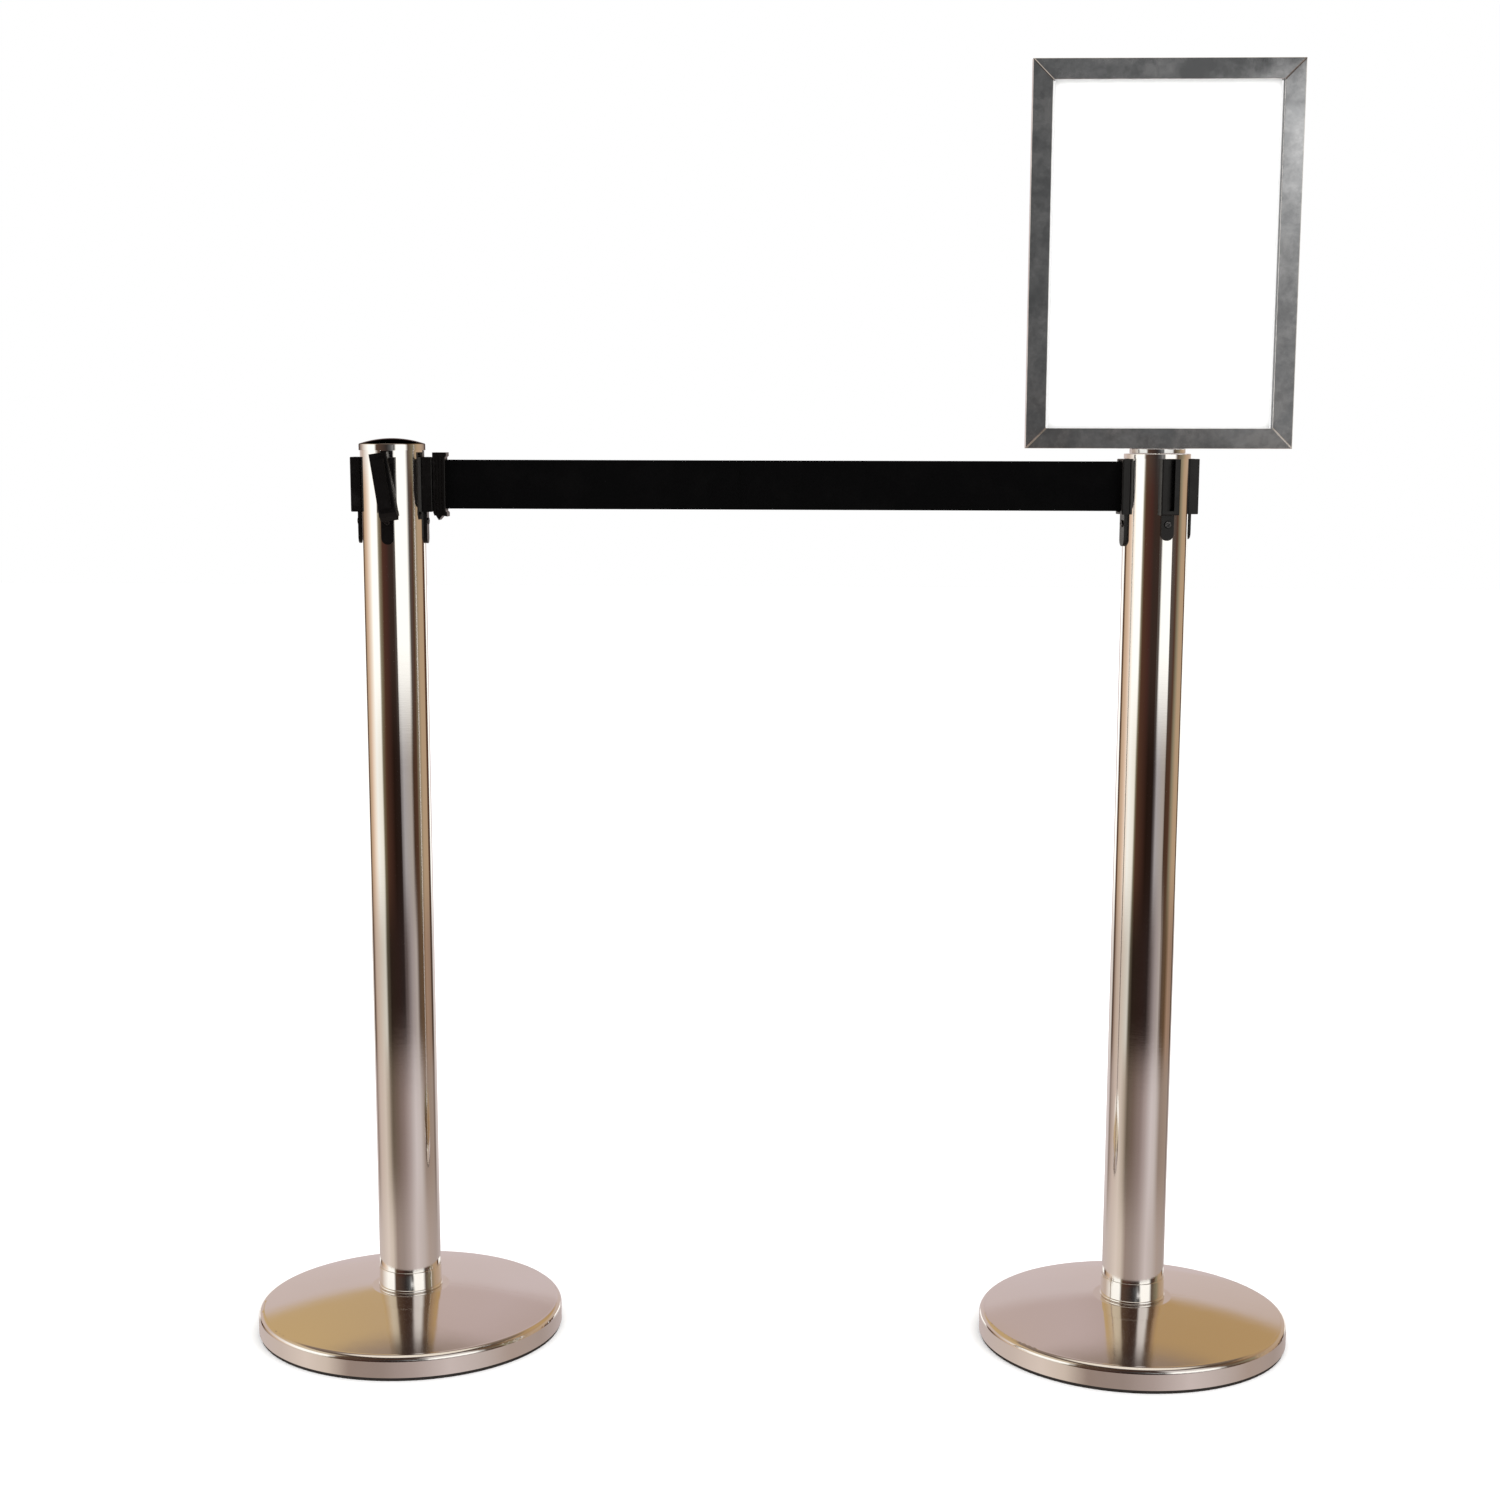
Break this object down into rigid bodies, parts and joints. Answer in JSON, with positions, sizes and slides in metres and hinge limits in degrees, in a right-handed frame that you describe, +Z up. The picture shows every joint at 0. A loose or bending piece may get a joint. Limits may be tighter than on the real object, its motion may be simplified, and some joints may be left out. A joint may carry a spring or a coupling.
{
  "type": "retractable belt stanchion",
  "caption": "Two round-based steel posts joined by a retractable black belt, with T-slot receivers at their heads and an upright swivelling sign frame on one.",
  "frame": {"origin": "on the floor, midway between the two post axes", "axes": "+X runs from the left post to the right post along the belt, the front faces -Y, and +Z is up"},
  "size_m": [1.065, 0.314, 1.2738],
  "materials": {
    "polished_steel": "polished stainless steel",
    "sign_steel": "polished stainless steel, lightly scuffed",
    "black_plastic": "satin moulded",
    "grey_plastic": "satin moulded",
    "belt_webbing": "woven polyester",
    "rubber": "matte",
    "cast_iron": "rough cast",
    "zinc_steel": "zinc plated",
    "spring_steel": "bright",
    "clear_acrylic": "clear polished",
    "white_card": "smooth"
  },
  "bodies": {
    "right_post": {"right_base_weight": "cast_iron", "right_base_cover": "polished_steel", "right_base_ring": "rubber", "right_anchor_bolt": "zinc_steel", "right_anchor_washer": "zinc_steel", "right_tube_plug": "zinc_steel", "right_foot_collar": "polished_steel", "right_tube": "polished_steel", "right_cassette_body": "black_plastic", "right_cassette_lid": "black_plastic", "right_spring_cover": "black_plastic", "right_power_spring": "spring_steel", "right_spool_shaft": "spring_steel", "right_belt_outlet": "black_plastic", "right_guide_pins": "spring_steel", "right_tail_screws": "zinc_steel", "right_top_cap": "polished_steel", "right_belt": "belt_webbing", "right_receiver_outer": "black_plastic", "right_receiver_back": "black_plastic", "right_receiver_front": "black_plastic"},
    "left_post": {"left_base_weight": "cast_iron", "left_base_cover": "polished_steel", "left_base_ring": "rubber", "left_anchor_bolt": "zinc_steel", "left_anchor_washer": "zinc_steel", "left_tube_plug": "zinc_steel", "left_foot_collar": "polished_steel", "left_tube": "polished_steel", "left_cassette_body": "black_plastic", "left_cassette_lid": "black_plastic", "left_spring_cover": "black_plastic", "left_power_spring": "spring_steel", "left_spool_shaft": "spring_steel", "left_belt_outlet": "black_plastic", "left_guide_pins": "spring_steel", "left_tail_screws": "zinc_steel", "left_top_cap": "polished_steel", "left_belt": "belt_webbing", "left_receiver_inner": "black_plastic", "left_receiver_back": "black_plastic", "left_receiver_outer": "black_plastic"},
    "right_spool": {"right_spool": "grey_plastic", "right_belt_roll": "belt_webbing"},
    "left_spool": {"left_spool": "grey_plastic", "left_belt_roll": "belt_webbing"},
    "right_clip": {"right_belt_clip": "black_plastic", "right_clip_pin": "spring_steel"},
    "left_clip": {"left_belt_clip": "black_plastic", "left_clip_pin": "spring_steel"},
    "sign": {"sign_rail_bottom": "sign_steel", "sign_rail_right": "sign_steel", "sign_rail_top": "sign_steel", "sign_rail_left": "sign_steel", "sign_window_front": "clear_acrylic", "sign_window_back": "clear_acrylic", "sign_corner_keys": "zinc_steel", "sign_screws": "zinc_steel", "sign_flange": "sign_steel"},
    "insert": {"sign_insert": "white_card"}
  },
  "joints": [
    {"name": "post_spacing", "type": "slide", "parent": "right_post", "child": "left_post", "axis": [-1, 0, 0], "range_m": [-0.2, 1.2], "deforming": ["right_belt"]},
    {"name": "right_spool_turn", "type": "hinge", "parent": "right_post", "child": "right_spool", "pos_m": [0.3755, 0, 0.872], "axis": [0, 0, 1], "range_deg": [-3600, 1260]},
    {"name": "right_clip_unhook", "type": "slide", "parent": "left_post", "child": "right_clip", "axis": [0, 0, 1], "range_m": [0, 0.056], "deforming": ["right_belt"]},
    {"name": "left_belt_pull", "type": "slide", "parent": "left_post", "child": "left_clip", "axis": [0, -1, 0], "range_m": [0, 1.9], "stiffness_N_per_m": 2, "springref_m": -3, "deforming": ["left_belt"]},
    {"name": "left_spool_turn", "type": "hinge", "parent": "left_post", "child": "left_spool", "pos_m": [-0.3755, 0, 0.872], "axis": [0, 0, 1], "range_deg": [-4680, 90]},
    {"name": "sign_turn", "type": "hinge", "parent": "right_post", "child": "sign", "pos_m": [0.3755, 0, 0.91], "axis": [0, 0, 1], "continuous": true},
    {"name": "insert_slide", "type": "slide", "parent": "sign", "child": "insert", "axis": [0, 0, 1], "range_m": [0, 0.34]}
  ],
  "couplings": [
    {"joint": "right_spool_turn", "follows": "post_spacing", "rad_per_m": -47.774},
    {"joint": "left_spool_turn", "follows": "left_belt_pull", "rad_per_m": -40.361}
  ]
}
